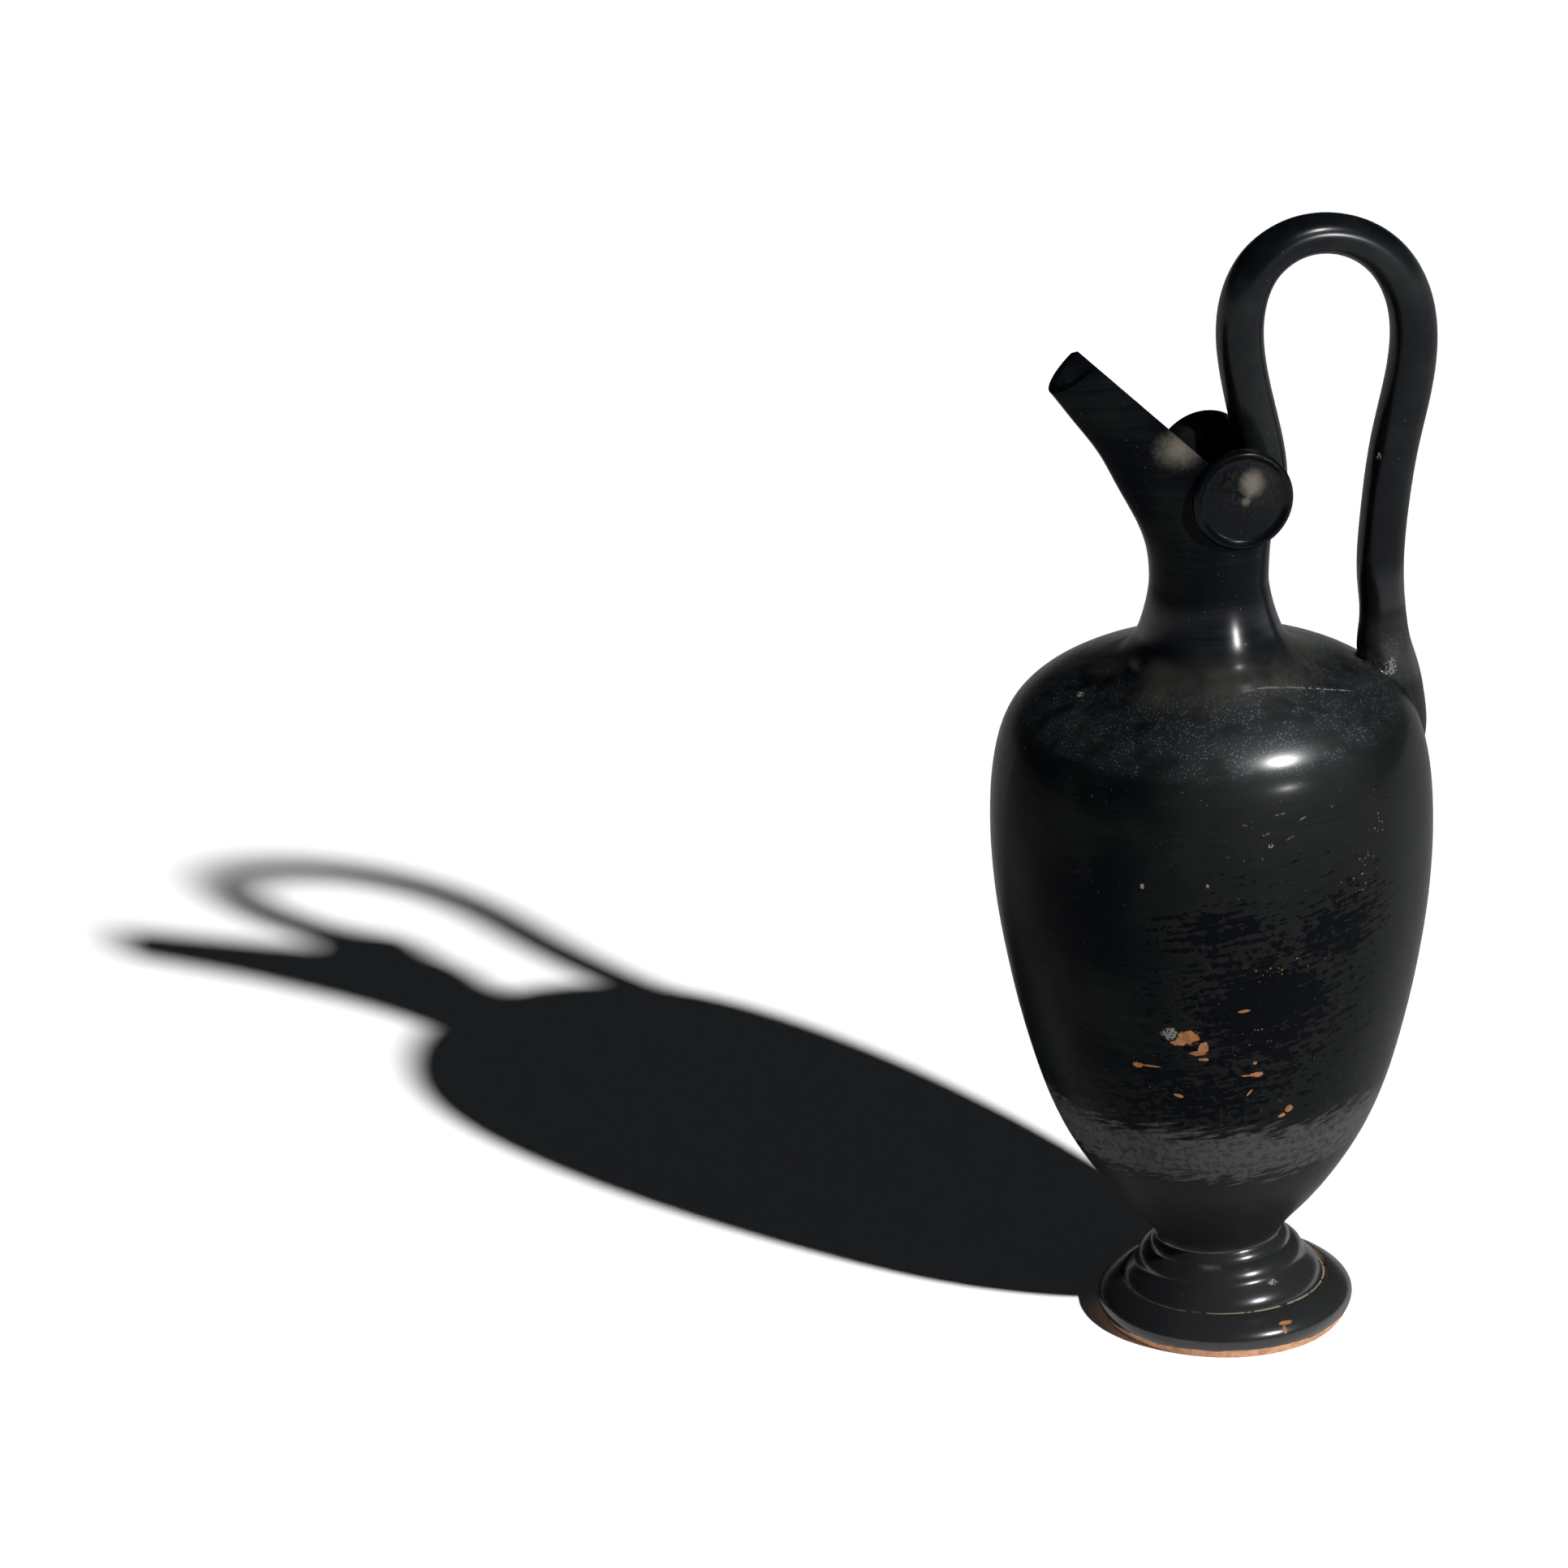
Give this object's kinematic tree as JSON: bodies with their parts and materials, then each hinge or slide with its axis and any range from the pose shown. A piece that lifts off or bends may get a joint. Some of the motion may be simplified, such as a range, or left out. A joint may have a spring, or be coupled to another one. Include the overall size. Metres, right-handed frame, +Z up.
{
  "type": "oinochoe",
  "caption": "Beaked pottery pouring jug with an ovoid body, narrow neck, moulded ring foot and high loop handle, for holding and pouring liquid.",
  "frame": {"origin": "on the ground under the middle of the foot", "axes": "+Z up, +X towards the handle, -X towards the pouring beak, +Y across"},
  "size_m": [0.1179, 0.115, 0.3056],
  "materials": {
    "black_gloss": "worn glossy black slip over fired clay"
  },
  "bodies": {
    "root": {"oinochoe": "black_gloss"}
  },
  "joints": []
}
